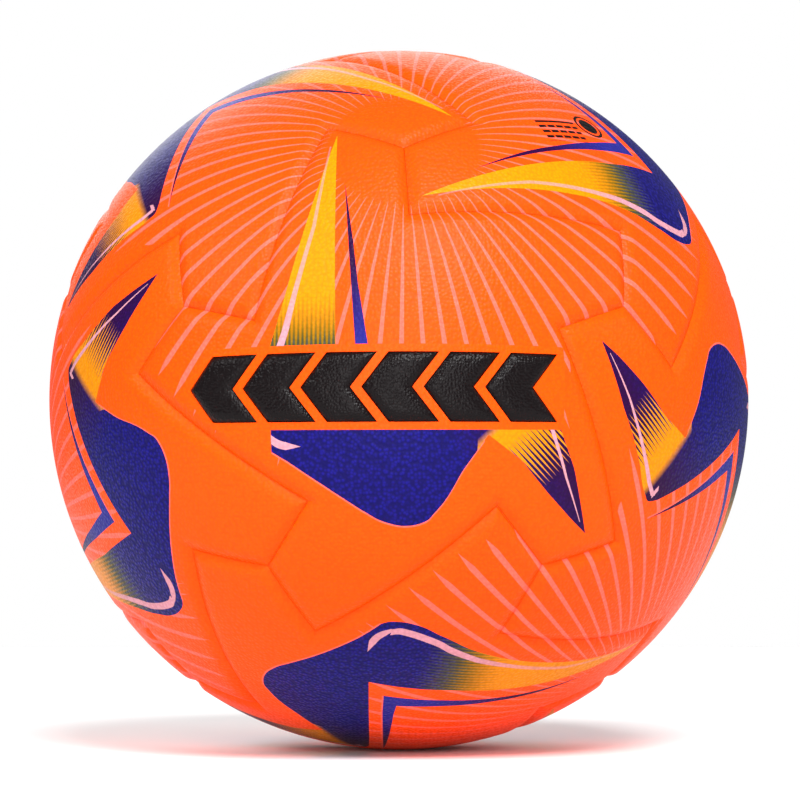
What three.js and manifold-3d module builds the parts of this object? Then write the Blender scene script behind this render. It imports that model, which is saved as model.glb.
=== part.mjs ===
// Size 5 soccer ball, thermally bonded: twelve identical pinwheel panels over foam pads, a textile
// carcass and an air bladder with a needle valve. Millimetres, +Z up, origin at the ball's centre.
// The emblem panel faces -Y and the valve panel faces +Y. Layers are faceted and nest one in another.
import * as THREE from 'three';
import { mergeVertices } from 'three/addons/utils/BufferGeometryUtils.js';
import Module from 'manifold-3d';

// Layers, from the outside in
const ballRadius = 110;
const skinThickness = 1.6;
const foamThickness = 3.6;
const carcassThickness = 1.2;
const bladderThickness = 1.2;
const layerGap = 0.3;
const carcassGap = 0.7;

// Seams: each panel edge is three great arcs, with a corner near each end
const cornerReach = 12.99;
const cornerTurn = -57.25;
const seamGap = 0.3;
const grooveDepth = 1.0;
const shoulderWidth = 2.6;
const edgeWall = 1.0;

// Emblem: six chevrons let into the front panel
const chevronCount = 6;
const chevronWidth = 14;
const chevronHeight = 19.4;
const chevronPoint = 7.5;
const chevronPitch = 17.2;
const chevronThickness = 0.9;
const chevronProud = 0.4;
const emblemLeft = -64;
const emblemMiddle = -4.4;
const emblemClearance = 0.3;

// Valve
const neckRadius = 5.5;
const neckClearance = 0.4;
const valveRecess = 0.8;
const flangeRadius = 16;
const flangeThickness = 1.4;
const bootRadius = 5.0;
const bootLength = 17;
const bootFloor = 1.6;
const boreClearance = 0.3;
const plugRadius = 3.1;
const plugLength = 19;
const plugHeadRecess = 0.4;
const needleRadius = 0.6;
const needleMouthRadius = 1.5;
const needleMouthDepth = 2.5;
const collarRadius = 13.7;
const patchRadius = 14;
const patchThickness = 2.0;

// Facets: steps along the three arcs of an edge, and sides of the round pieces
const arcSteps = [1, 2, 1];
const turns = 24;

const skinInner = ballRadius - skinThickness;
const foamOuter = skinInner - layerGap;
const foamInner = foamOuter - foamThickness;
const carcassOuter = foamInner - carcassGap;
const carcassInner = carcassOuter - carcassThickness;
const bladderOuter = carcassInner - layerGap;
const bladderInner = bladderOuter - bladderThickness;

const goldenRatio = (1 + Math.sqrt(5)) / 2;
const vertexPolar = Math.acos(Math.sqrt((5 + 2 * Math.sqrt(5)) / 15));
const radians = THREE.MathUtils.degToRad;

const wasm = await Module();
wasm.setup();

function solidOf(geometry) {
  const bare = geometry.clone();
  bare.deleteAttribute('normal');
  bare.deleteAttribute('uv');
  const merged = mergeVertices(bare, 1e-3);
  return new wasm.Manifold(new wasm.Mesh({
    numProp: 3,
    vertProperties: new Float32Array(merged.getAttribute('position').array),
    triVerts: new Uint32Array(merged.getIndex().array),
  }));
}

function geometryOf(solid) {
  const mesh = solid.getMesh();
  const geometry = new THREE.BufferGeometry();
  geometry.setAttribute('position', new THREE.BufferAttribute(mesh.vertProperties, mesh.numProp));
  geometry.setIndex(new THREE.BufferAttribute(mesh.triVerts, 1));
  return geometry;
}

// Coordinates are kept to a millionth, so that a point reached from two panels is one point.
function triangles(points, faces) {
  const numbers = points.flatMap((p) => p.toArray()).map((value) => Math.round(value * 1e6) / 1e6);
  const geometry = new THREE.BufferGeometry();
  geometry.setAttribute('position', new THREE.Float32BufferAttribute(numbers, 3));
  geometry.setIndex(faces.flat());
  return geometry;
}

// Panel frame: +Z out through the panel's middle, +Y towards the first of its five vertices.
function direction(polar, azimuth) {
  const spread = Math.sin(polar);
  return new THREE.Vector3(spread * Math.cos(azimuth), spread * Math.sin(azimuth), Math.cos(polar));
}

// The seam corner near one end of an edge that runs from vertex "from" to vertex "to".
function seamCorner(from, to) {
  const along = to.clone().addScaledVector(from, -to.dot(from)).normalize();
  const across = from.clone().cross(along);
  const heading = along.multiplyScalar(Math.cos(radians(cornerTurn)))
    .addScaledVector(across, Math.sin(radians(cornerTurn)));
  return from.clone().multiplyScalar(Math.cos(radians(cornerReach)))
    .addScaledVector(heading, Math.sin(radians(cornerReach)));
}

const vertices = [0, 1, 2, 3, 4].map((i) => direction(vertexPolar, radians(90 + 72 * i)));
const corners = vertices.flatMap((vertex, i) => {
  const next = vertices[(i + 1) % 5];
  return [vertex, seamCorner(vertex, next), seamCorner(next, vertex)];
});
const sideNormals = corners.map((corner, i) =>
  corner.clone().cross(corners[(i + 1) % corners.length]).normalize());

// A point on a side of the panel, moved in from the seam by an angle.
function onSide(side, point, offset) {
  return point.clone().projectOnPlane(sideNormals[side]).normalize()
    .multiplyScalar(Math.cos(offset)).addScaledVector(sideNormals[side], Math.sin(offset));
}

// The panel's outline moved in from the seam by "inset", as unit directions. "halved" doubles them.
function outline(inset, halved) {
  const offset = inset / ballRadius;
  const moved = corners.map((corner, i) => {
    const before = sideNormals[(i + corners.length - 1) % corners.length];
    const after = sideNormals[i];
    const middle = before.clone().add(after).multiplyScalar(Math.sin(offset) / (1 + before.dot(after)));
    const crease = before.clone().cross(after).normalize();
    crease.multiplyScalar(Math.sign(crease.dot(corner)) * Math.sqrt(1 - middle.lengthSq()));
    return middle.add(crease);
  });
  const stops = moved.flatMap((start, i) => {
    const end = moved[(i + 1) % moved.length];
    return Array.from({ length: arcSteps[i % 3] }, (_, j) =>
      ({ side: i, point: onSide(i, start.clone().lerp(end, j / arcSteps[i % 3]), offset) }));
  });
  if (!halved) {
    return stops.map((stop) => stop.point);
  }
  return stops.flatMap(({ side, point }, i) => {
    const next = stops[(i + 1) % stops.length].point;
    return [point, onSide(side, point.clone().lerp(next, 0.5), offset)];
  });
}

// The faces inside an outline: five arms round a five-sided core, all on one sphere.
function dome(border, halved) {
  const step = halved ? 2 : 1;
  const inner = border.length;
  const points = [...border];
  const at = (i) => ((i + 20) % 20) * step;
  const reflex = (i) => border[at(4 * i + 3)];
  const around = [0, 1, 2, 3, 4];
  const middle = (...parts) => parts.reduce((sum, d) => sum.add(d), new THREE.Vector3()).normalize();
  const centre = new THREE.Vector3(0, 0, 1);
  points.push(centre);
  around.forEach((i) => points.push(middle(centre, reflex(i))));
  around.forEach((i) => points.push(middle(reflex(i - 1), reflex(i))));
  around.forEach((i) =>
    points.push(middle(reflex(i - 1), border[at(4 * i)], border[at(4 * i + 1)], reflex(i))));
  let faces = around.flatMap((i) => {
    const before = (i + 4) % 5;
    const [core, coreBefore, rib, arm] = [inner + 1 + i, inner + 1 + before, inner + 6 + i, inner + 11 + i];
    const [vertex, tip, half, notch, notchBefore] = [0, 1, 2, 3, -1].map((k) => at(4 * i + k));
    return [
      [arm, notchBefore, vertex], [arm, vertex, tip], [arm, tip, half],
      [arm, half, notch], [arm, notch, rib], [arm, rib, notchBefore],
      [inner, coreBefore, core], [coreBefore, notchBefore, rib],
      [coreBefore, rib, core], [core, rib, notch],
    ];
  });
  if (halved) {
    const halves = new Map();
    const halfway = (a, b) => {
      const key = [a, b].sort((m, n) => m - n).join();
      if (!halves.has(key)) {
        const [low, high] = [Math.min(a, b), Math.max(a, b)];
        const alongBorder = high < inner && (high - low === 2 || high - low === inner - 2);
        const between = high - low === 2 ? low + 1 : inner - 1;
        halves.set(key, alongBorder ? between : points.push(middle(points[a], points[b])) - 1);
      }
      return halves.get(key);
    };
    faces = faces.flatMap(([a, b, c]) => {
      const [ab, bc, ca] = [halfway(a, b), halfway(b, c), halfway(c, a)];
      return [[a, ab, ca], [ab, b, bc], [ca, bc, c], [ab, bc, ca]];
    });
  }
  return { points, faces };
}

// A panel-shaped solid: an outer dome, the walls that run down a list of rings, and an inner dome.
function panelSolid(rings, halved) {
  const outlines = rings.map(({ inset }) => outline(inset, halved));
  const size = outlines[0].length;
  const points = [];
  const faces = [];
  const starts = outlines.map((border, row) => {
    const start = points.length;
    const capped = row === 0 || row === rings.length - 1;
    const cap = capped ? dome(border, halved) : { points: border, faces: [] };
    points.push(...cap.points.map((d) => d.clone().multiplyScalar(rings[row].radius)));
    for (const [a, b, c] of cap.faces) {
      faces.push(row === 0 ? [a, b, c] : [a + start, c + start, b + start]);
    }
    return start;
  });
  for (let row = 0; row + 1 < rings.length; row += 1) {
    const [upper, lower] = [starts[row], starts[row + 1]];
    for (let i = 0; i < size; i += 1) {
      const next = (i + 1) % size;
      faces.push([upper + i, lower + i, lower + next], [upper + i, lower + next, upper + next]);
    }
  }
  return triangles(points, faces);
}

const edgeInset = seamGap / 2;
const wallInset = edgeInset + edgeWall;
const padInset = wallInset + layerGap;
const shoulderInset = edgeInset + shoulderWidth;

// A moulded skin: domed face, rounded shoulder and an edge turned down to the carcass.
const skinGeometry = (halved) => panelSolid([
  { inset: shoulderInset, radius: ballRadius },
  { inset: edgeInset, radius: ballRadius - grooveDepth },
  { inset: edgeInset, radius: foamInner },
  { inset: wallInset, radius: foamInner },
  { inset: wallInset, radius: skinInner - grooveDepth },
  { inset: shoulderInset, radius: skinInner },
], halved);

// The foam pad that fills a skin, inside its turned edge.
const padGeometry = (halved) => panelSolid([
  { inset: shoulderInset, radius: foamOuter },
  { inset: padInset, radius: foamOuter - grooveDepth },
  { inset: padInset, radius: foamInner },
], halved);

// The twelve panel places: the rotations that keep a cube's corners, sorted from front to back.
function panelPlaces() {
  const normal = new THREE.Vector3(1, 0, goldenRatio).normalize();
  const up = new THREE.Vector3(1, -1, 1).projectOnPlane(normal).normalize();
  const frame = new THREE.Matrix4().makeBasis(up.clone().cross(normal), up, normal);
  const toWorld = new THREE.Matrix4().makeRotationX(Math.PI / 2).multiply(frame.clone().transpose());
  const signs = [[1, 1, 1], [1, -1, -1], [-1, 1, -1], [-1, -1, 1]];
  const places = [0, 1, 2].flatMap((shift) => signs.map((sign) => {
    const axes = [0, 1, 2].map((i) => new THREE.Vector3().setComponent((i + shift) % 3, sign[i]));
    const turn = new THREE.Matrix4().makeBasis(...axes);
    return toWorld.clone().multiply(turn).multiply(frame);
  }));
  const order = places.map((place) => {
    const middle = new THREE.Vector3(0, 0, 1).applyMatrix4(place);
    return { place, depth: Math.round(middle.y * 1e6), turn: Math.atan2(middle.z, middle.x) };
  });
  order.sort((a, b) => a.depth - b.depth || a.turn - b.turn);
  return order.map((entry) => entry.place);
}

const places = panelPlaces();
const valvePlace = places[places.length - 1];

// A whole faceted ball of the panels' own facets, so that every layer nests in the next.
function nestedBall(radius) {
  const { points, faces } = dome(outline(0, false), false);
  return solidOf(triangles(
    places.flatMap((place) => points.map((d) => d.clone().multiplyScalar(radius).applyMatrix4(place))),
    places.flatMap((_, i) => faces.map((face) => face.map((index) => index + i * points.length)))));
}

// A round drill along +Y, from inside the bladder to outside the ball.
function drill(radius) {
  const geometry = new THREE.CylinderGeometry(radius, radius, ballRadius, turns);
  return solidOf(geometry.translate(0, ballRadius, 0));
}

function turned(profile) {
  const points = profile.map(([radius, height]) => new THREE.Vector2(radius, height));
  return geometryOf(solidOf(new THREE.LatheGeometry([...points, points[0].clone()], turns)));
}

// Emblem: a chevron on the panel, drawn in millimetres along the surface from the panel's middle.
function chevron(index, grow, bottom, top) {
  const columns = 3;
  const rows = 4;
  const sweep = chevronPoint / (chevronHeight / 2);
  const slant = Math.hypot(1, sweep);
  const left = emblemLeft + index * chevronPitch - grow * slant;
  const width = chevronWidth + 2 * grow * slant;
  const half = chevronHeight / 2 + grow;
  const surface = (column, row) => {
    const rise = half * ((row / rows) * 2 - 1);
    const x = left + sweep * Math.abs(rise) + width * (column / columns);
    const y = emblemMiddle + rise;
    return direction(Math.hypot(x, y) / ballRadius, Math.atan2(y, x));
  };
  const points = [];
  for (const radius of [top, bottom]) {
    for (let row = 0; row <= rows; row += 1) {
      for (let column = 0; column <= columns; column += 1) {
        points.push(surface(column, row).multiplyScalar(radius));
      }
    }
  }
  const layer = (columns + 1) * (rows + 1);
  const at = (column, row) => row * (columns + 1) + column;
  const faces = [];
  const quad = (a, b, c, d) => faces.push([a, b, c], [a, c, d]);
  for (let row = 0; row < rows; row += 1) {
    for (let column = 0; column < columns; column += 1) {
      const [a, b] = [at(column, row), at(column + 1, row)];
      const [c, d] = [at(column + 1, row + 1), at(column, row + 1)];
      quad(a, b, c, d);
      quad(d + layer, c + layer, b + layer, a + layer);
    }
  }
  for (let column = 0; column < columns; column += 1) {
    quad(at(column + 1, 0), at(column, 0), at(column, 0) + layer, at(column + 1, 0) + layer);
    quad(at(column, rows), at(column + 1, rows), at(column + 1, rows) + layer, at(column, rows) + layer);
  }
  for (let row = 0; row < rows; row += 1) {
    quad(at(0, row), at(0, row + 1), at(0, row + 1) + layer, at(0, row) + layer);
    quad(at(columns, row + 1), at(columns, row), at(columns, row) + layer, at(columns, row + 1) + layer);
  }
  return triangles(points, faces);
}

const chevronTop = ballRadius + chevronProud;
const chevronBottom = chevronTop - chevronThickness;
const chevrons = Array.from({ length: chevronCount }, (_, i) => i);

// Materials
const finish = (color, roughness) =>
  new THREE.MeshStandardMaterial({ color, roughness, metalness: 0, flatShading: true });
const skinFinish = () => finish('#ff6400', 0.45);
const foamFinish = () => finish('#e9e4d6', 0.9);

const ball = new THREE.Group();
function add(name, geometry, material, place) {
  const mesh = new THREE.Mesh(geometry, material);
  mesh.name = name;
  if (place) {
    mesh.setRotationFromMatrix(place);
  }
  ball.add(mesh);
}

const valveHole = neckRadius + neckClearance;
const local = (solid) => solidOf(geometryOf(solid).applyMatrix4(valvePlace.clone().transpose()));

// Front skin, with a pocket for each chevron
const frontSkin = chevrons.reduce((skin, i) => {
  const pocket = chevron(i, emblemClearance, chevronBottom - emblemClearance, ballRadius + skinThickness);
  return skin.subtract(solidOf(pocket));
}, solidOf(skinGeometry(true)));

// Skins and pads
const plainSkin = skinGeometry(false);
const plainPad = padGeometry(false);
places.forEach((place, i) => {
  const number = String(i + 1).padStart(2, '0');
  let skin = plainSkin;
  let pad = plainPad;
  if (i === 0) {
    skin = geometryOf(frontSkin);
    pad = padGeometry(true);
  }
  if (place === valvePlace) {
    skin = geometryOf(solidOf(plainSkin).subtract(local(drill(valveHole))));
    pad = geometryOf(solidOf(plainPad).subtract(local(drill(collarRadius + layerGap))));
  }
  add(`cover_panel_${number}`, skin, skinFinish(), place);
  add(`foam_pad_${number}`, pad, foamFinish(), place);
});

const emblemFinish = () => finish('#1c1517', 0.4);
chevrons.forEach((i) => {
  add(`emblem_chevron_${i + 1}`, chevron(i, 0, chevronBottom, chevronTop), emblemFinish(), places[0]);
});

// Carcass and bladder: hollow, and open at the valve
const carcass = nestedBall(carcassOuter).subtract(nestedBall(carcassInner)).subtract(drill(valveHole));
add('carcass', geometryOf(carcass), finish('#d8d5cc', 0.95));
const bladder = nestedBall(bladderOuter).subtract(nestedBall(bladderInner)).subtract(drill(valveHole));
add('bladder', geometryOf(bladder), finish('#26262a', 0.55));

// The height just under a layer's facets at a distance from the valve's axis. The facets fall away
// from the axis, and more steeply past the first ones.
const firstPolar = Math.min(...corners.map((c) => Math.acos(c.z))) / 2;
function under(radius, distance) {
  const flatSide = Math.cos(Math.PI / 5);
  const fall = Math.tan(firstPolar / 2) / flatSide;
  const beyond = Math.max(0, distance - radius * Math.sin(firstPolar) * flatSide);
  return radius - layerGap - distance * fall - beyond * 3 * fall;
}

// Valve housing: a flange bonded inside the bladder, a neck out to the cover and a boot inwards
const valveTop = ballRadius - valveRecess;
const boreRadius = plugRadius + boreClearance;
const bootEnd = bladderInner - bootLength - bootFloor;
const housing = turned([
  [boreRadius, valveTop],
  [boreRadius, bootEnd + bootFloor],
  [needleRadius, bootEnd + bootFloor],
  [needleRadius, bootEnd],
  [bootRadius, bootEnd],
  [bootRadius, under(bladderInner, bootRadius) - flangeThickness],
  [flangeRadius, under(bladderInner, flangeRadius) - flangeThickness],
  [flangeRadius, under(bladderInner, flangeRadius)],
  [neckRadius, under(bladderInner, neckRadius)],
  [neckRadius, valveTop],
]);
add('valve_housing', housing, finish('#1b1b1d', 0.6));

// Valve plug: pulls out of the bore along +Y, with a needle way down its middle
const plugTop = valveTop - plugHeadRecess;
const plug = turned([
  [needleMouthRadius, plugTop],
  [needleRadius, plugTop - needleMouthDepth],
  [needleRadius, plugTop - plugLength],
  [plugRadius, plugTop - plugLength],
  [plugRadius, plugTop],
]);
add('valve_plug', plug, finish('#101012', 0.5));

// Collar that fills the foam's opening round the valve neck
const collar = turned([
  [valveHole, under(foamOuter, valveHole)],
  [valveHole, foamInner],
  [collarRadius, foamInner],
  [collarRadius, under(foamOuter, collarRadius)],
]);
add('valve_collar', collar, finish('#3a3a3c', 0.7));

// Balance patch inside the bladder, opposite the valve
const patch = turned([
  [0, under(bladderInner, 0)],
  [0, under(bladderInner, 0) - patchThickness],
  [patchRadius, under(bladderInner, patchRadius) - patchThickness],
  [patchRadius, under(bladderInner, patchRadius)],
]);
add('balance_patch', patch.rotateX(Math.PI), finish('#2e2e31', 0.6));

export default ball;
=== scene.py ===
import math

import bpy
import numpy as np
from mathutils import Matrix, Vector


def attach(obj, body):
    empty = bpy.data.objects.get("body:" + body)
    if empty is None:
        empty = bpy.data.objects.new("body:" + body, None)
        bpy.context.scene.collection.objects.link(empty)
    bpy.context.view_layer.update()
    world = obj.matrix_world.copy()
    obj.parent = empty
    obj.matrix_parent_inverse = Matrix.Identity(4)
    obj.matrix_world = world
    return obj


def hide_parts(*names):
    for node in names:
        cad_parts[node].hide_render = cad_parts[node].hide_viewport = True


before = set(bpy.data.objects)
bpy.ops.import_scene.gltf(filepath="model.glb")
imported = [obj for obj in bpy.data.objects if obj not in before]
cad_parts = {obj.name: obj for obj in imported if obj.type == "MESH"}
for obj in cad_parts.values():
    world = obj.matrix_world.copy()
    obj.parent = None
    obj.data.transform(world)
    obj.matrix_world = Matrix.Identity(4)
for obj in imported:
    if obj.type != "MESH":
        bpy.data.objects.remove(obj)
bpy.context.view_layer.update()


# Camera: a long lens that looks almost straight at the emblem panel, from a little below its
# middle.
camera_distance = 0.8227
camera_turn = Vector((-4.241, 1.061, 0.100))
lens_length = 116.59
sensor_width = 36

panel_to_front = Matrix.Rotation(math.radians(90), 3, "X")
tilt = Matrix.Rotation(math.radians(camera_turn.length), 3, camera_turn.normalized())
camera_axes = panel_to_front @ tilt.transposed()
camera_data = bpy.data.cameras.new("camera")
camera_data.lens = lens_length
camera_data.sensor_width = sensor_width
camera_data.shift_x = 0.0014
camera = bpy.data.objects.new("camera", camera_data)
camera.matrix_world = (
    Matrix.Translation(camera_axes @ Vector((0, 0, camera_distance))) @ camera_axes.to_4x4())
bpy.context.scene.collection.objects.link(camera)
bpy.context.scene.camera = camera
bpy.context.scene.view_settings.view_transform = "Standard"


# Panel outline: twelve alike panels close round the ball. Each edge between two of the ball's
# vertices is three great arcs, a Z with a corner near each end, so that the panels turn like
# pinwheels. A panel is drawn with +Z out through its middle and +Y towards its first vertex.
ball_radius = 0.110
corner_reach = math.radians(12.99)
corner_turn = math.radians(-57.25)
vertex_polar = math.acos(math.sqrt((5 + 2 * math.sqrt(5)) / 15))
golden_ratio = (1 + math.sqrt(5)) / 2
panel_middle = Vector((0, 0, 1))


def direction(polar, azimuth):
    spread = math.sin(polar)
    return Vector((spread * math.cos(azimuth), spread * math.sin(azimuth), math.cos(polar)))


def seam_corner(start, end):
    """The seam corner near the start of the edge between two vertices."""
    along = (end - start * end.dot(start)).normalized()
    heading = along * math.cos(corner_turn) + start.cross(along) * math.sin(corner_turn)
    return start * math.cos(corner_reach) + heading * math.sin(corner_reach)


ends = [direction(vertex_polar, math.radians(90 + 72 * i)) for i in range(5)]
corners = []
for start, end in zip(ends, ends[1:] + ends[:1]):
    corners += [start, seam_corner(start, end), seam_corner(end, start)]
side_normals = [
    corner.cross(after).normalized() for corner, after in zip(corners, corners[1:] + corners[:1])]


def outline(inset):
    """The outline moved in from the seam, as twenty directions: vertex, tip, half, notch."""
    offset = inset / ball_radius
    moved = []
    for i, corner in enumerate(corners):
        before, after = side_normals[i - 1], side_normals[i]
        middle = (before + after) * (math.sin(offset) / (1 + before.dot(after)))
        crease = before.cross(after).normalized()
        reach = math.copysign(math.sqrt(1 - middle.length_squared), crease.dot(corner))
        moved.append(middle + crease * reach)
    border = []
    for i, start in enumerate(moved):
        border.append(start)
        if i % 3 == 1:
            halfway = start.lerp(moved[(i + 1) % len(moved)], 0.5)
            normal = side_normals[i]
            flat = (halfway - normal * halfway.dot(normal)).normalized()
            border.append(flat * math.cos(offset) + normal * math.sin(offset))
    return border


def panel_places():
    """Where the twelve panels go, as turns from the panel's own frame, from front to back."""
    normal = Vector((1, 0, golden_ratio)).normalized()
    up = Vector((1, -1, 1))
    up = (up - normal * up.dot(normal)).normalized()
    own_frame = Matrix((up.cross(normal), up, normal)).transposed()
    places = []
    for shift in range(3):
        for signs in ((1, 1, 1), (1, -1, -1), (-1, 1, -1), (-1, -1, 1)):
            turn = Matrix.Diagonal((0, 0, 0))
            for i, sign in enumerate(signs):
                turn[(i + shift) % 3][i] = sign
            places.append(panel_to_front @ own_frame.transposed() @ turn @ own_frame)
    return sorted(places, key=lambda place: (
        round(place.col[2].y, 3), math.atan2(place.col[2].z, place.col[2].x)))


places = panel_places()
body = "ball"


# Cover panels: moulded skins of printed polyurethane, each domed over its foam with a rounded
# shoulder and an edge turned down to the carcass. They are bonded to the carcass side by side.
skin_thickness = 0.0016
foam_thickness = 0.0036
layer_gap = 0.0003
edge_inset = 0.00005
shoulder_width = 0.0042
groove_depth = 0.0015
edge_wall = 0.0010
shoulder_steps = 9
skin_halvings = 4
skin_inner = ball_radius - skin_thickness
foam_outer = skin_inner - layer_gap
foam_inner = foam_outer - foam_thickness


def split(points, border, faces):
    """Cuts each triangle into four on the sphere, and each stretch of the border into two."""
    halves = {}

    def halfway(a, b):
        key = (min(a, b), max(a, b))
        if key not in halves:
            halves[key] = len(points)
            points.append((points[a] + points[b]).normalized())
        return halves[key]

    finer = []
    for a, b, c in faces:
        ab, bc, ca = halfway(a, b), halfway(b, c), halfway(c, a)
        finer += [(a, ab, ca), (ab, b, bc), (ca, bc, c), (ab, bc, ca)]
    longer = []
    for start, end in zip(border, border[1:] + border[:1]):
        longer += [start, halfway(start, end)]
    return longer, finer


def dome(inset, halvings):
    """The surface inside an outline, on the unit sphere: five arms round a five-sided core."""
    points = outline(inset)
    reflex = [points[4 * i + 3] for i in range(5)]
    arms = [(reflex[i - 1] + points[4 * i] + points[4 * i + 1] + reflex[i]) for i in range(5)]
    points = points + [panel_middle] + [(panel_middle + notch).normalized() for notch in reflex]
    points += [(reflex[i - 1] + reflex[i]).normalized() for i in range(5)]
    points += [arm.normalized() for arm in arms]
    faces = []
    for i in range(5):
        core, core_before, rib, arm = 21 + i, 21 + (i + 4) % 5, 26 + i, 31 + i
        vertex, tip, half, notch, notch_before = (
            4 * i, 4 * i + 1, 4 * i + 2, 4 * i + 3, (4 * i + 19) % 20)
        faces += [
            (arm, notch_before, vertex), (arm, vertex, tip), (arm, tip, half),
            (arm, half, notch), (arm, notch, rib), (arm, rib, notch_before),
            (20, core_before, core), (core_before, notch_before, rib),
            (core_before, rib, core), (core, rib, notch)]
    border = list(range(20))
    for _ in range(halvings):
        border, faces = split(points, border, faces)
    return points, border, faces


def ring(inset, halvings):
    """An outline split as finely as a dome's border."""
    border = outline(inset)
    for _ in range(halvings):
        finer = []
        for start, end in zip(border, border[1:] + border[:1]):
            finer += [start, (start + end).normalized()]
        border = finer
    return border


def panel_mesh(name, rings, halvings):
    """A panel-shaped solid: an outer dome, walls down a list of rings, and an inner dome."""
    points, faces, borders = [], [], []
    for row, (inset, radius) in enumerate(rings):
        first = len(points)
        if row in (0, len(rings) - 1):
            layer, border, cap = dome(inset, halvings)
            order = (0, 1, 2) if row == 0 else (0, 2, 1)
            faces += [[face[k] + first for k in order] for face in cap]
        else:
            layer = ring(inset, halvings)
            border = range(len(layer))
        points += [point * radius for point in layer]
        borders.append([index + first for index in border])
    for upper, lower in zip(borders, borders[1:]):
        for i in range(len(upper)):
            faces.append((upper[i - 1], lower[i - 1], lower[i], upper[i]))
    mesh = bpy.data.meshes.new(name)
    mesh.from_pydata(points, [], faces)
    return mesh


def shoulder(inset, width, radius, depth):
    """Rings that fall away more and more steeply from the dome's edge down to the wall."""
    shares = [step / shoulder_steps for step in range(shoulder_steps + 1)]
    return [(inset + width * (1 - share), radius - depth * share ** 2) for share in shares]


def piece(name, mesh):
    """Links a mesh to the scene as a piece, selected alone and active."""
    made = bpy.data.objects.new(name, mesh)
    bpy.context.scene.collection.objects.link(made)
    bpy.ops.object.select_all(action="DESELECT")
    made.select_set(True)
    bpy.context.view_layer.objects.active = made
    return made


def cut(target, cutter):
    """Cuts one piece's shape out of another, and throws the cutter away."""
    bpy.context.view_layer.objects.active = target
    boolean = target.modifiers.new("cut", "BOOLEAN")
    boolean.operation = "DIFFERENCE"
    boolean.solver = "EXACT"
    boolean.object = cutter
    bpy.ops.object.modifier_apply(modifier=boolean.name)
    bpy.data.objects.remove(cutter)


def smooth(made, angle=35):
    bpy.ops.object.select_all(action="DESELECT")
    made.select_set(True)
    bpy.context.view_layer.objects.active = made
    bpy.ops.object.shade_smooth_by_angle(angle=math.radians(angle))


# The print is drawn flat, in millimetres from the panel's middle, and laid on the sphere without
# stretching along its radii. Its rays are drawn round the panel's first vertex, in radians.
print_scale = 100


def lay_print(mesh):
    """Gives a panel's mesh its two maps, worked out from the panel's own frame."""
    places_now = np.empty(len(mesh.vertices) * 3)
    mesh.vertices.foreach_get("co", places_now)
    outward = places_now.reshape(-1, 3)
    outward /= np.linalg.norm(outward, axis=1)[:, None]
    corner = np.empty(len(mesh.loops), int)
    mesh.loops.foreach_get("vertex_index", corner)
    vertex = np.array(ends[0])
    down = np.array(panel_middle) - vertex * vertex[2]
    down /= np.linalg.norm(down)
    millimetres = ball_radius * 1000 / print_scale
    for name, out, right, up, unit in (
            ("print", (0, 0, 1), (1, 0, 0), (0, 1, 0), millimetres),
            ("rays", vertex, (1, 0, 0), down, 1)):
        polar = np.arccos(np.clip(outward @ np.array(out), -1, 1))
        turn = np.arctan2(outward @ np.array(up), outward @ np.array(right))
        flat = np.stack([np.cos(turn), np.sin(turn)], 1) * (polar * unit)[:, None]
        mesh.uv_layers.new(name=name).data.foreach_set("uv", flat[corner].ravel())


class Wire:
    """A number on its way through a material's nodes, so that its maths reads as Python."""

    def __init__(self, finish, socket):
        self.finish = finish
        self.socket = socket

    def maths(self, operation, *others):
        return self.finish.node(
            "ShaderNodeMath", {"operation": operation}, dict(enumerate((self, *others))))

    def __add__(self, other): return self.maths("ADD", other)
    def __sub__(self, other): return self.maths("SUBTRACT", other)
    def __rsub__(self, other): return self.maths("MULTIPLY_ADD", -1, other)
    def __mul__(self, other): return self.maths("MULTIPLY", other)
    def __truediv__(self, other): return self.maths("DIVIDE", other)
    def __mod__(self, other): return self.maths("FLOORED_MODULO", other)
    def __abs__(self): return self.maths("ABSOLUTE")
    def __gt__(self, other): return self.maths("GREATER_THAN", other)
    def __lt__(self, other): return self.maths("LESS_THAN", other)
    def __and__(self, other): return self.maths("MULTIPLY", other)
    def __or__(self, other): return self.maths("MAXIMUM", other)
    __radd__ = __add__
    __rmul__ = __mul__

    def follow(self, *points):
        """How high a line through points is over this number. A third item rounds a point."""
        low, high = points[0][0], points[-1][0]
        floor = min(point[1] for point in points)
        rise = max(point[1] for point in points) - floor
        stops = [((x - low) / (high - low), (y - floor) / rise, bool(rounded))
                 for x, y, *rounded in points]
        share = self.finish.node(
            "ShaderNodeMath", {"operation": "DIVIDE", "use_clamp": True},
            {0: self - low, 1: high - low})
        line = self.finish.node("ShaderNodeFloatCurve", {"points": stops}, {"Value": share})
        return line * rise + floor

    def between(self, low, high):
        return (self > low) & (self < high)

    def stripes(self, pitch):
        """From 0 in the middle of each stripe to 1 halfway to the next."""
        return abs((self / pitch + 0.5) % 1 - 0.5) * 2


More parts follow.
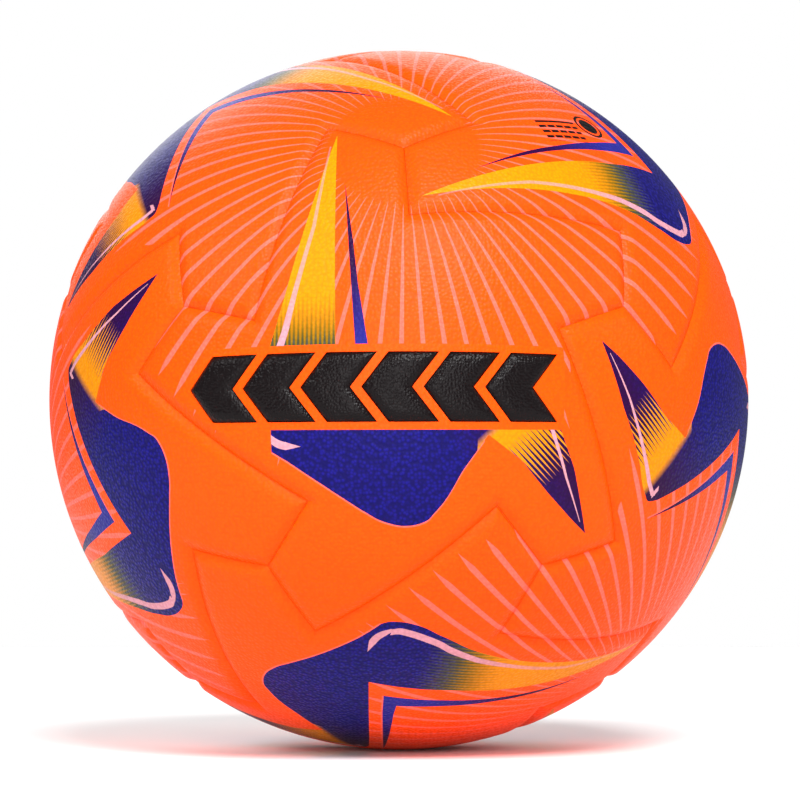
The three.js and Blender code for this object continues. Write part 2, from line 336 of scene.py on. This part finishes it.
class Finish:
    """A material being made: its nodes and its surface shader."""

    def __init__(self, name):
        self.material = bpy.data.materials.new(name)
        self.material.use_nodes = True
        self.tree = self.material.node_tree
        self.shader = self.tree.nodes["Principled BSDF"]

    def node(self, kind, settings, sockets, output=0):
        made = self.tree.nodes.new(kind)
        for name, value in settings.items():
            if name == "points":
                curve = made.mapping.curves[0]
                for x, y, _ in value[1:-1]:
                    curve.points.new(x, y)
                for point, (x, y, rounded) in zip(curve.points, value):
                    point.location = (x, y)
                    point.handle_type = "AUTO_CLAMPED" if rounded else "VECTOR"
                made.mapping.update()
            else:
                setattr(made, name, value)
        for name, value in sockets.items():
            self.set(made.inputs[name], value)
        return Wire(self, made.outputs[output])

    def set(self, socket, value):
        if isinstance(value, Wire):
            self.tree.links.new(value.socket, socket)
        else:
            socket.default_value = value

    def surface(self, **values):
        for name, value in values.items():
            self.set(self.shader.inputs[name.replace("_", " ").title()], value)

    def over(self, under, share, top):
        """A colour or ink laid over another where the share is 1."""
        return self.node("ShaderNodeMix", {"data_type": "RGBA"}, {0: share, 6: under, 7: top}, 2)

    def map(self, name):
        both = self.node("ShaderNodeUVMap", {"uv_map": name}, {})
        parts = [self.node("ShaderNodeSeparateXYZ", {}, {0: both}, k) for k in (0, 1)]
        return parts

    def place(self):
        return self.node("ShaderNodeTexCoord", {}, {}, 3)

    def bump(self, height, depth, strength=1.0):
        normal = self.node(
            "ShaderNodeBump", {}, {"Strength": strength, "Distance": depth, "Height": height})
        self.set(self.shader.inputs["Normal"], normal)


def ink(code):
    """The linear colour of a printed ink, from its #rrggbb."""
    shares = [int(code[i:i + 2], 16) / 255 for i in (1, 3, 5)]
    return (*[s / 12.92 if s <= 0.04045 else ((s + 0.055) / 1.055) ** 2.4 for s in shares], 1)


# Emblem sizes, which the front panel's print and pockets both need, in millimetres of the print
chevron_count = 6
chevron_width = 14
chevron_height = 19.4
chevron_point = 7.5
chevron_pitch = 17.2
emblem_left = -64
emblem_middle = -4.4
emblem_halo = 2.2
emblem_sink = 0.0004
chevron_sweep = chevron_point / (chevron_height / 2)
chevron_slant = math.hypot(1, chevron_sweep)

orange = ink("#ff4a00")
red_orange = ink("#ff4203")
ray_pink = ink("#ff5f4f")
yellow = ink("#cf7c00")
violet = ink("#0c0850")
violet_light = ink("#141072")
purple = ink("#240032")
blue = ink("#1e1f7b")
olive = ink("#4a4a08")
line_pink = ink("#c08592")
black_ink = ink("#0c0708")
shadow_black = ink("#000000")
cover_gloss = 0.08
emblem_gloss = 0.1


def ray_share(finish, x, y, blade_left):
    """Thin rays that fan out from the panel's first vertex and end in points."""
    east, north = finish.map("rays")
    angle = east.maths("ARCTAN2", north) * math.degrees(1) + 120 * (x < blade_left)
    reach = (east * east + north * north).maths("SQRT") * math.degrees(1)
    limit = x.follow(
        (-84, 18), (-78.9, 6.3), (-74.5, -1.9), (-68.1, -8.6), (-61.2, -14.1), (-52.4, -19.9),
        (-43.5, -24.0), (-35.3, -27.1), (-31, -20), (20, -16), (47.8, -16), (48, 3.4))
    point = finish.node(
        "ShaderNodeMath", {"operation": "DIVIDE", "use_clamp": True}, {0: y - limit, 1: 9})
    width = reach.follow((11.2, 0.0), (12.4, 0.12), (22, 0.22), (60, 0.22))
    return (angle + 1.2).stripes(5.6) < width * point


def mark_shares(x, y):
    """The printed mark: a blade, the body it stands on, and the shard at the body's right end."""
    blade_left = y.follow(
        (-23.0, -37.6), (-20.8, -41.6, 1), (-16.7, -43.9, 1), (-12.6, -44.5, 1), (-2.5, -42.3, 1),
        (8.0, -38.5, 1), (20.8, -34.7), (76.7, -20.8))
    blade_right = y.follow((-16.3, -17), (7.6, -19.6), (76.7, -20.8))
    top = x.follow(
        (-41.6, -16.3), (-17, -16.3), (20.2, -3.8), (33.0, 0.2), (36.2, 0.5, 1), (38.7, -1.6, 1),
        (42.9, -11.4), (46, -19.2), (49.6, -27.8), (55, -47.8))
    bottom = x.follow(
        (-41.6, -20.8, 1), (-37.6, -23.0), (-33.8, -25.2), (-12.6, -39.1), (-5.0, -42.9, 1),
        (-0.3, -43.7, 1), (4.4, -42.9, 1), (8.2, -39.8, 1), (16.4, -27.1), (23.1, -17.7),
        (32.8, -24.9), (41.3, -34.5), (49.6, -42.9), (55, -47.8))
    blade = y.between(-20.8, 76.7) & (x > blade_left) & (x < blade_right)
    body_and_shard = x.between(-41.6, 55) & (y > bottom) & (y < top)
    rim = x.between(-41.6, 22) & (y < bottom + 0.2) & (y > bottom - 0.5)
    return blade, body_and_shard, rim, blade_left


def mark_lines(x, y):
    """The pale line that follows the blade and the one down the shard."""
    down_blade = y.follow(
        (-17.0, -39.7, 1), (-13.5, -40.9, 1), (-4.7, -39.8, 1), (2.3, -37.2), (11.7, -34.1),
        (22.7, -31.5), (43, -26.5), (72, -22.7))
    blade_half = y.follow((-17, 1.2), (3, 1.2), (23, 0.75), (72, 0.25))
    tail = x.follow((-40.8, -16.6, 1), (-38.4, -19.0, 1), (-34.5, -20.8, 1), (-29.7, -21.0))
    tail_half = x.follow((-40.8, 0.9), (-38, 1.3), (-34, 1.1), (-29.7, 0.0))
    down_shard = y.follow(
        (-44, 52.7), (-30.3, 47.1), (-24.4, 45.1), (-14.3, 41.3), (-5.4, 37.9), (-1.2, 35.4))
    shard_half = y.follow((-44, 0.12), (-30, 0.38), (-14, 0.65), (-1.2, 0.9))
    hook = x.follow((33.4, -3.4), (35.9, -1.2))
    return (
        (y.between(-17, 72) & (abs(x - down_blade) < blade_half))
        | (x.between(-40.8, -29.7) & (abs(y - tail) < tail_half))
        | (y.between(-44, -1.2) & (abs(x - down_shard) < shard_half))
        | (x.between(33.4, 35.9) & (abs(y - hook) < 0.8)))


def chevron_line_shares(x, y):
    """The thin blue chevron above the body, and the pink line under its right arm."""
    outer = y.follow((-10, -12.0), (7.6, -14.1), (37.9, -16.3), (57.4, -17.7))
    inner = y.follow((-4.9, -7.8), (7.6, -10.6), (25, -13.4), (37.9, -14.9), (57.4, -17.7))
    lower = x.follow((-11.9, -10), (-2.5, -7.2), (20.2, 0.6), (35.7, 5.9))
    upper = x.follow((-8.1, -4.7), (-2.5, -3.7), (35.7, 5.9))
    left_arm = y.between(-10, 57.4) & (x > outer) & (x < inner) & (y > lower)
    right_arm = x.between(-11.9, 35.7) & (y > lower) & (y < upper)
    edge = x.between(-11.9, 35.7) & (y < lower + 0.1) & (y > lower - 0.5)
    return left_arm | right_arm, edge


def emblem_band(x, y):
    """The plain band that the print leaves round the emblem, and over the body's left corner."""
    rise = abs(y - emblem_middle)
    left = rise * chevron_sweep + (emblem_left - emblem_halo * chevron_slant)
    last_left = emblem_left + (chevron_count - 1) * chevron_pitch
    right = last_left + chevron_width + chevron_point + emblem_halo
    band = (x > left) & (x < right) & (rise < chevron_height / 2 + emblem_halo)
    body_corner = x.between(-52, -38.4) & y.between(-27, -12)
    return band | body_corner


def label_share(x, y):
    """A small block of plain bars and a plain round badge, where the size and care label goes."""
    bars = y.between(11, 27) & x.between(-11.4, -1.8) & ((x + 1.0).stripes(2.4) > 0.5)
    gaps = (y.stripes(3.4) > 0.14) | (x > -4)
    badge_x, badge_y = x + 2.5, y - 4.6
    badge_reach = (badge_x * badge_x + badge_y * badge_y).maths("SQRT")
    badge = (badge_reach < 5.2) & ((badge_reach > 4.2) | (badge_reach < 3.4))
    return (bars & gaps) | badge


def grain(finish, pitch, depth):
    """Fine pebbled grain, as pressed into the film."""
    cells = finish.node(
        "ShaderNodeTexVoronoi", {"feature": "SMOOTH_F1"},
        {"Vector": finish.place(), "Scale": 1 / pitch, "Smoothness": 0.35, "Randomness": 0.75})
    finish.bump(1 - cells, depth)
    return cells


def cover_finish(name, emblem=False, label=False):
    """Printed polyurethane with a satin film and a fine pebbled grain."""
    finish = Finish(name)
    across, along = finish.map("print")
    x, y = across * print_scale, along * print_scale
    blade, body_and_shard, rim, blade_left = mark_shares(x, y)
    chevron_line, chevron_edge = chevron_line_shares(x, y)
    rays = ray_share(finish, x, y, blade_left)
    cells = grain(finish, pitch=0.0011, depth=0.00016)

    # The shard starts in yellow past a soft slanting line, and stripes close it to purple.
    # The blade goes from yellow through olive to violet, with thin stripes along it.
    past_body = (x - 23.1) * 0.683 - (y + 17.7) * 0.73
    shard_yellow = past_body.follow((-1.3, 0), (1.3, 1)) & (x > 20)
    shard_fade = past_body.follow((6, 0), (10, 0.25), (23, 1))
    shard_dark = ((x + y) * math.sqrt(0.5)).stripes(1.34) < shard_fade
    blade_fade = y.follow((-10, 1.45), (6, 0.8), (24, 0))
    blade_dark = (blade_fade - x.stripes(1.26) * 0.3).maths("MINIMUM", 1).maths("MAXIMUM", 0)
    shard_lit = body_and_shard & shard_yellow & (1 - shard_dark)

    colour = finish.over(orange, y.follow((-20, 0), (10, 0.35), (40, 0.5)), red_orange)
    colour = finish.over(colour, rays, ray_pink)
    colour = finish.over(colour, rim | chevron_edge, ray_pink)
    tips = (abs(x + 10) + abs(y + 5)).follow((12, 0), (40, 1))
    colour = finish.over(colour, chevron_line, finish.over(blue, tips, purple))
    # The violet is lighter on the grain's raised cells and darker in the hollows between them:
    # partly the grain's own tone, partly painted shade.
    violet_grain_shade = finish.over(violet_light, cells.follow((0.1, 0), (0.6, 1)), violet)
    shade = finish.over(violet_grain_shade, (x + y * 0.6).follow((0, 0), (30, 1)), purple)
    colour = finish.over(colour, blade | body_and_shard, shade)
    colour = finish.over(colour, shard_lit, yellow)
    fade = finish.over(yellow, blade_dark.follow((0, 0), (0.6, 1)), olive)
    fade = finish.over(fade, blade_dark.follow((0.5, 0), (1, 1)), shade)
    colour = finish.over(colour, blade & (y > -10), fade)
    paling = y.follow((8, 1), (28, 0.6), (70, 0.3))
    colour = finish.over(colour, mark_lines(x, y) & paling, line_pink)
    if emblem:
        colour = finish.over(colour, emblem_band(x, y), orange)
    if label:
        colour = finish.over(colour, label_share(x, y), black_ink)
    colour = finish.over(colour, cells.follow((0.25, 0), (0.7, 0.15)), shadow_black)
    finish.surface(base_color=colour, roughness=cells.follow((0.2, 0.34), (0.7, 0.46)))
    finish.set(finish.shader.inputs["Specular IOR Level"], cover_gloss)
    return finish.material


def backing_finish():
    """The skin's unprinted underside: pale knitted backing."""
    finish = Finish("skin_backing")
    knit = finish.node("ShaderNodeTexVoronoi", {}, {"Vector": finish.place(), "Scale": 1400})
    finish.bump(knit, 0.00015, 0.6)
    shade = finish.over(ink("#d9d3c4"), knit, ink("#b9b19f"))
    finish.surface(base_color=shade, roughness=0.9)
    return finish.material


def chevron_shape(name, index, grow, bottom, top, rounding=0):
    """One emblem chevron, or the pocket it sits in, on the panel. Its top can be pillowed."""
    columns, rows = 16, 14
    left = emblem_left + index * chevron_pitch - grow * chevron_slant
    width = chevron_width + 2 * grow * chevron_slant
    half = chevron_height / 2 + grow
    layers = [[], []]
    for row in range(-rows, rows + 1):
        rise = half * math.sin(math.radians(90 * row / rows))
        for column in range(columns + 1):
            share = 0.5 - 0.5 * math.cos(math.pi * column / columns)
            x = left + chevron_sweep * abs(rise) + width * share
            y = emblem_middle + rise
            outward = direction(
                math.hypot(x, y) / (ball_radius * 1000), math.atan2(y, x))
            lift = 1
            if rounding:
                for reach in (min(share, 1 - share) * width / chevron_slant, half - abs(rise)):
                    lift *= math.sqrt(1 - (1 - min(reach / rounding, 1)) ** 2)
            layers[0].append(outward * (bottom + (top - bottom) * lift))
            layers[1].append(outward * (bottom - (emblem_sink if rounding else 0)))
    row_length = columns + 1
    size = len(layers[0])
    edge = (
        list(range(columns))
        + [row * row_length + columns for row in range(2 * rows)]
        + [2 * rows * row_length + column for column in range(columns, 0, -1)]
        + [row * row_length for row in range(2 * rows, 0, -1)])
    faces = []
    for row in range(2 * rows):
        for column in range(columns):
            a = row * row_length + column
            quad = (a, a + 1, a + row_length + 1, a + row_length)
            faces.append(quad)
            faces.append(tuple(size + k for k in reversed(quad)))
    for start, end in zip(edge, edge[1:] + edge[:1]):
        faces.append((end, start, start + size, end + size))
    mesh = bpy.data.meshes.new(name)
    mesh.from_pydata(layers[0] + layers[1], [], faces)
    return piece(name, mesh)


wall_inset = edge_inset + edge_wall
skin_rings = shoulder(edge_inset, shoulder_width, ball_radius, groove_depth)
skin_rings += [(edge_inset, foam_inner), (wall_inset, foam_inner)]
skin_rings += reversed(shoulder(wall_inset, shoulder_width - edge_wall, skin_inner, groove_depth))
valve_opening = 0.0059
pocket_clearance = 0.06
chevron_floor = ball_radius - 0.0005
pocket_floor = chevron_floor - 0.0003

plain_skin = panel_mesh("cover_skin", skin_rings, skin_halvings)
special_covers = {
    1: cover_finish("cover_print_front", emblem=True),
    5: cover_finish("cover_print_label", label=True)}
plain_cover = cover_finish("cover_print")
backing = backing_finish()
for number, place in enumerate(places, 1):
    skin = piece(f"cover_skin_{number:02}", plain_skin.copy())
    if number == 1:
        for index in range(chevron_count):
            cut(skin, chevron_shape(
                "pocket", index, pocket_clearance, pocket_floor, ball_radius + skin_thickness))
    if number == len(places):
        bpy.ops.mesh.primitive_cylinder_add(
            vertices=64, radius=valve_opening, depth=0.03, location=(0, 0, ball_radius))
        cut(skin, bpy.context.active_object)
    lay_print(skin.data)
    skin.data.materials.append(special_covers.get(number, plain_cover))
    skin.data.materials.append(backing)
    for polygon in skin.data.polygons:
        inward = -polygon.normal.dot(polygon.center.normalized())
        below = polygon.center.length < skin_inner + layer_gap
        polygon.material_index = int(inward > 0.4 and below)
    skin.data.transform(place.to_4x4())
    smooth(skin)
    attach(skin, body)
    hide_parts(f"cover_panel_{number:02}")


# Emblem: six puffed chevrons of black grained polyurethane, let into pockets in the front panel.
emblem_proud = 0.0012
emblem_rounding = 3.4


def emblem_finish():
    """Black embossed film with a leather-like grain and a soft gloss."""
    finish = Finish("emblem_black")
    cells = grain(finish, pitch=0.0008, depth=0.0002)
    finish.surface(
        base_color=finish.over(ink("#080405"), cells, ink("#0e0809")), roughness=0.3)
    finish.set(finish.shader.inputs["Specular IOR Level"], emblem_gloss)
    return finish.material


emblem_black = emblem_finish()
for index in range(chevron_count):
    chevron = chevron_shape(
        f"emblem_patch_{index + 1}", index, 0, chevron_floor, ball_radius + emblem_proud,
        emblem_rounding)
    chevron.data.materials.append(emblem_black)
    chevron.data.transform(places[0].to_4x4())
    smooth(chevron, 60)
    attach(chevron, body)
    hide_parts(f"emblem_chevron_{index + 1}")


# Foam pads: a soft closed-cell pad that fills each skin, inside its turned edge, and gives the
# cover its bounce. The pad behind the valve panel has a round opening for the collar.
pad_halvings = 3
pad_inset = wall_inset + layer_gap
collar_radius = 0.0137
pad_width = shoulder_width - edge_wall - layer_gap


def foam_finish(name, light, dark, pitch):
    """Closed-cell foam: fine round cells, dull all over."""
    finish = Finish(name)
    cells = finish.node(
        "ShaderNodeTexVoronoi", {}, {"Vector": finish.place(), "Scale": 1 / pitch})
    finish.bump(cells, pitch / 5, 0.7)
    finish.surface(base_color=finish.over(ink(light), cells, ink(dark)), roughness=0.92)
    return finish.material


pad_rings = shoulder(pad_inset, pad_width, foam_outer, groove_depth) + [(pad_inset, foam_inner)]
plain_pad = panel_mesh("foam_pad", pad_rings, pad_halvings)
pad_foam = foam_finish("pad_foam", "#f2ede0", "#cfc8b6", 0.0006)
for number, place in enumerate(places, 1):
    pad = piece(f"pad_{number:02}", plain_pad.copy())
    if number == len(places):
        bpy.ops.mesh.primitive_cylinder_add(
            vertices=96, radius=collar_radius + layer_gap, depth=0.03, location=(0, 0, ball_radius))
        cut(pad, bpy.context.active_object)
    pad.data.materials.append(pad_foam)
    pad.data.transform(place.to_4x4())
    smooth(pad)
    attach(pad, body)
    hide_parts(f"foam_pad_{number:02}")


# Carcass and bladder: a woven polyester shell laminated into a ball, and inside it the moulded
# rubber bladder that holds the air. Both have a round hole where the valve comes through.
carcass_gap = 0.0007
carcass_thickness = 0.0012
bladder_thickness = 0.0012
sphere_cuts = 39


def hollow_ball(name, radius, thickness):
    """A cube rounded to a ball, given a wall on its inner side and drilled at the valve."""
    bpy.ops.object.select_all(action="DESELECT")
    bpy.ops.mesh.primitive_cube_add(size=2 * radius)
    made = bpy.context.active_object
    made.name = name
    bpy.ops.object.mode_set(mode="EDIT")
    bpy.ops.mesh.select_all(action="SELECT")
    bpy.ops.mesh.subdivide(number_cuts=sphere_cuts)
    bpy.ops.transform.tosphere(value=1)
    bpy.ops.object.mode_set(mode="OBJECT")
    made.data.transform(Matrix.Scale(radius / made.data.vertices[0].co.length, 4))
    wall = made.modifiers.new("wall", "SOLIDIFY")
    wall.thickness = thickness
    wall.offset = -1
    bpy.ops.object.modifier_apply(modifier=wall.name)
    bpy.ops.mesh.primitive_cylinder_add(
        vertices=64, radius=valve_opening, depth=0.06, location=(0, ball_radius, 0),
        rotation=(math.radians(90), 0, 0))
    cut(made, bpy.context.active_object)
    smooth(made)
    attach(made, body)
    return made


def textile_finish():
    """Plain-woven polyester under a thin coat of latex."""
    finish = Finish("carcass_textile")
    across, along = finish.map("UVMap")
    warp, weft = (axis.stripes(1 / 420) for axis in (across, along))
    finish.bump(warp.maths("MAXIMUM", weft), 0.0002, 0.8)
    finish.surface(
        base_color=finish.over(ink("#e6e2d6"), warp & weft, ink("#b4ad9c")), roughness=0.85)
    return finish.material


def rubber_finish(name, light, dark, roughness):
    """Moulded rubber with a faint cloudy bloom and a dusted, slightly rough skin."""
    finish = Finish(name)
    bloom = finish.node(
        "ShaderNodeTexNoise", {}, {"Vector": finish.place(), "Scale": 90, "Detail": 5})
    dust = finish.node("ShaderNodeTexNoise", {}, {"Vector": finish.place(), "Scale": 2500})
    finish.bump(dust, 0.00008, 0.6)
    finish.surface(
        base_color=finish.over(ink(dark), bloom, ink(light)),
        roughness=bloom.follow((0.3, roughness - 0.08), (0.7, roughness + 0.08)))
    return finish.material


carcass_outer = foam_inner - carcass_gap
carcass = hollow_ball("carcass_shell", carcass_outer, carcass_thickness)
carcass.data.materials.append(textile_finish())
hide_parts("carcass")

bladder_outer = carcass_outer - carcass_thickness - layer_gap
bladder_inner = bladder_outer - bladder_thickness
bladder = hollow_ball("bladder_shell", bladder_outer, bladder_thickness)
bladder_rubber = rubber_finish("bladder_rubber", "#34343a", "#1c1c20", 0.5)
bladder.data.materials.append(bladder_rubber)
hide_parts("bladder")


# Valve: a rubber housing whose flange is bonded inside the bladder, with a neck up to the cover
# and a boot inwards, and a ribbed plug that seals on the needle and pulls out of the bore. A foam
# collar fills the pad's opening round the neck. A balance patch sits in the bladder opposite.
neck_radius = 0.0055
valve_top = ball_radius - 0.0008
flange_radius = 0.016
flange_thickness = 0.0014
boot_radius = 0.005
boot_length = 0.017
boot_floor = 0.0016
plug_radius = 0.0031
bore_radius = plug_radius + 0.0003
plug_length = 0.019
plug_top = valve_top - 0.0004
plug_ribs = 5
needle_radius = 0.0006
needle_mouth_radius = 0.0015
needle_mouth_depth = 0.0025
edge_round = 0.0003
patch_radius = 0.014
patch_thickness = 0.002
turned_sides = 64


def turned(name, profile, capped=False):
    """A round piece about the valve's axis, extruded ring by ring along its outline and closed."""
    bpy.ops.object.select_all(action="DESELECT")
    bpy.ops.mesh.primitive_circle_add(
        vertices=turned_sides, radius=profile[0][0], location=(0, profile[0][1], 0),
        rotation=(math.radians(90), 0, 0))
    made = bpy.context.active_object
    made.name = name
    bpy.ops.object.transform_apply()
    bpy.ops.object.mode_set(mode="EDIT")
    bpy.ops.mesh.select_all(action="SELECT")
    for (radius, height), (next_radius, next_height) in zip(profile, profile[1:]):
        bpy.ops.mesh.extrude_region_move(
            TRANSFORM_OT_translate={"value": (0, next_height - height, 0)})
        wider = next_radius / radius
        bpy.ops.transform.resize(value=(wider, 1, wider), center_override=(0, next_height, 0))
    bpy.ops.object.mode_set(mode="OBJECT")
    mesh = made.data
    last = len(mesh.vertices) - turned_sides
    for group in (mesh.vertices, mesh.polygons):
        group.foreach_set("select", [False] * len(group))
    for edge in mesh.edges:
        start, end = edge.vertices
        edge.select = max(start, end) < turned_sides or min(start, end) >= last
    bpy.ops.object.mode_set(mode="EDIT")
    bpy.ops.mesh.select_mode(type="EDGE")
    if capped:
        bpy.ops.mesh.edge_face_add()
    else:
        bpy.ops.mesh.bridge_edge_loops()
    bpy.ops.mesh.select_all(action="SELECT")
    bpy.ops.mesh.normals_make_consistent(inside=False)
    bpy.ops.mesh.select_mode(type="VERT")
    bpy.ops.object.mode_set(mode="OBJECT")
    return made


def under(radius, distance):
    """The height of a layer's inner face at a distance from the valve's axis."""
    return math.sqrt((radius - layer_gap) ** 2 - distance ** 2)


def fitted(made, material, riding_on, node):
    made.data.materials.append(material)
    smooth(made, 30)
    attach(made, riding_on)
    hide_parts(node)


boot_end = bladder_inner - boot_length - boot_floor
flange_radii = (flange_radius, 0.0145, 0.0115, 0.0085, neck_radius)
flange = [(r, under(bladder_inner, r)) for r in flange_radii]
flange_low = [(r, h - flange_thickness) for r, h in reversed(flange)]
housing = turned("valve_body", [
    (bore_radius, valve_top), (bore_radius, boot_end + boot_floor),
    (needle_radius, boot_end + boot_floor), (needle_radius, boot_end),
    (boot_radius - 2 * edge_round, boot_end), (boot_radius, boot_end + 2 * edge_round),
    *flange_low, *flange,
    (neck_radius, valve_top - edge_round), (neck_radius - edge_round, valve_top)])
fitted(
    housing, rubber_finish("valve_rubber", "#2b2b2e", "#161618", 0.5), body, "valve_housing")

plug_profile = [
    (needle_mouth_radius, plug_top), (needle_radius, plug_top - needle_mouth_depth),
    (needle_radius, plug_top - plug_length), (plug_radius - edge_round, plug_top - plug_length),
    (plug_radius, plug_top - plug_length + edge_round)]
rib_pitch = (plug_length - 4 * edge_round) / plug_ribs
for rib in range(1, plug_ribs):
    rib_height = plug_top - plug_length + edge_round + rib * rib_pitch
    plug_profile += [
        (plug_radius, rib_height - 2 * edge_round),
        (plug_radius - edge_round, rib_height - edge_round),
        (plug_radius - edge_round, rib_height + edge_round),
        (plug_radius, rib_height + 2 * edge_round)]
plug_profile += [(plug_radius, plug_top - edge_round), (plug_radius - edge_round, plug_top)]
plug = turned("valve_core", plug_profile)
fitted(
    plug, rubber_finish("plug_rubber", "#202024", "#0e0e10", 0.42), "plug", "valve_plug")

collar = turned("valve_ring", [
    (valve_opening, under(foam_outer, valve_opening)),
    (valve_opening, math.sqrt(foam_inner ** 2 - valve_opening ** 2)),
    (collar_radius, math.sqrt(foam_inner ** 2 - collar_radius ** 2)),
    (collar_radius, under(foam_outer, collar_radius)),
    (0.0095, under(foam_outer, 0.0095))])
fitted(
    collar, foam_finish("collar_foam", "#4a4a4d", "#2c2c2e", 0.0005), body, "valve_collar")

patch_radii = (0.003, 0.008, patch_radius - edge_round)
patch_high = [(r, under(bladder_inner, r)) for r in reversed(patch_radii)]
patch_low = [(r, h - patch_thickness) for r, h in reversed(patch_high)]
patch = turned("weight_patch", [
    *patch_low, (patch_radius, patch_low[-1][1] + edge_round),
    (patch_radius, patch_high[0][1] - edge_round), *patch_high], capped=True)
patch.data.transform(Matrix.Rotation(math.radians(180), 4, "Z"))
fitted(patch, bladder_rubber, body, "balance_patch")


# Floor: a sheet of pale paper.
floor_size = 3
bpy.ops.mesh.primitive_plane_add(size=floor_size, location=(0, 0, -ball_radius))
floor = bpy.context.active_object
floor.name = "floor"


def floor_finish():
    finish = Finish("floor_paper")
    fibre = finish.node("ShaderNodeTexNoise", {}, {"Vector": finish.place(), "Scale": 900})
    finish.surface(
        base_color=finish.over((0.93, 0.93, 0.93, 1), fibre, (0.96, 0.96, 0.96, 1)), roughness=0.8)
    return finish.material


floor.data.materials.append(floor_finish())


# Light: soft boxes round the ball in a pale room, whose walls show white behind it. Each box has
# a name, a place, a size and a power in watts, and faces the ball.
room_light = 0.28
world = bpy.data.worlds.new("pale_room")
world.use_nodes = True
room = world.node_tree
walls = room.nodes["Background"]
walls.inputs["Strength"].default_value = room_light
backdrop = room.nodes.new("ShaderNodeBackground")
backdrop.inputs["Strength"].default_value = 1.0
choice = room.nodes.new("ShaderNodeMixShader")
sight = room.nodes.new("ShaderNodeLightPath")
for source, target in (
        (sight.outputs["Is Camera Ray"], choice.inputs[0]), (walls.outputs[0], choice.inputs[1]),
        (backdrop.outputs[0], choice.inputs[2]),
        (choice.outputs[0], room.nodes["World Output"].inputs["Surface"])):
    room.links.new(source, target)
for background in (walls, backdrop):
    background.inputs["Color"].default_value = (1, 1, 1, 1)
bpy.context.scene.world = world
for name, place, size, power in (
        ("front_light", (0.25, -1.25, 1.25), 0.7, 44),
        ("right_light", (1.35, -0.5, 0.6), 0.5, 4),
        ("left_light", (-1.2, -0.7, 0.9), 0.5, 11),
        ("back_light", (-0.2, 1.5, 0.9), 1.2, 14),
        ("low_light", (-0.1, -1.2, 0.1), 0.6, 7)):
    lamp_data = bpy.data.lights.new(name, "AREA")
    lamp_data.size = size
    lamp_data.energy = power
    lamp = bpy.data.objects.new(name, lamp_data)
    lamp.location = place
    lamp.rotation_euler = Vector(place).to_track_quat("Z", "Y").to_euler()
    bpy.context.scene.collection.objects.link(lamp)
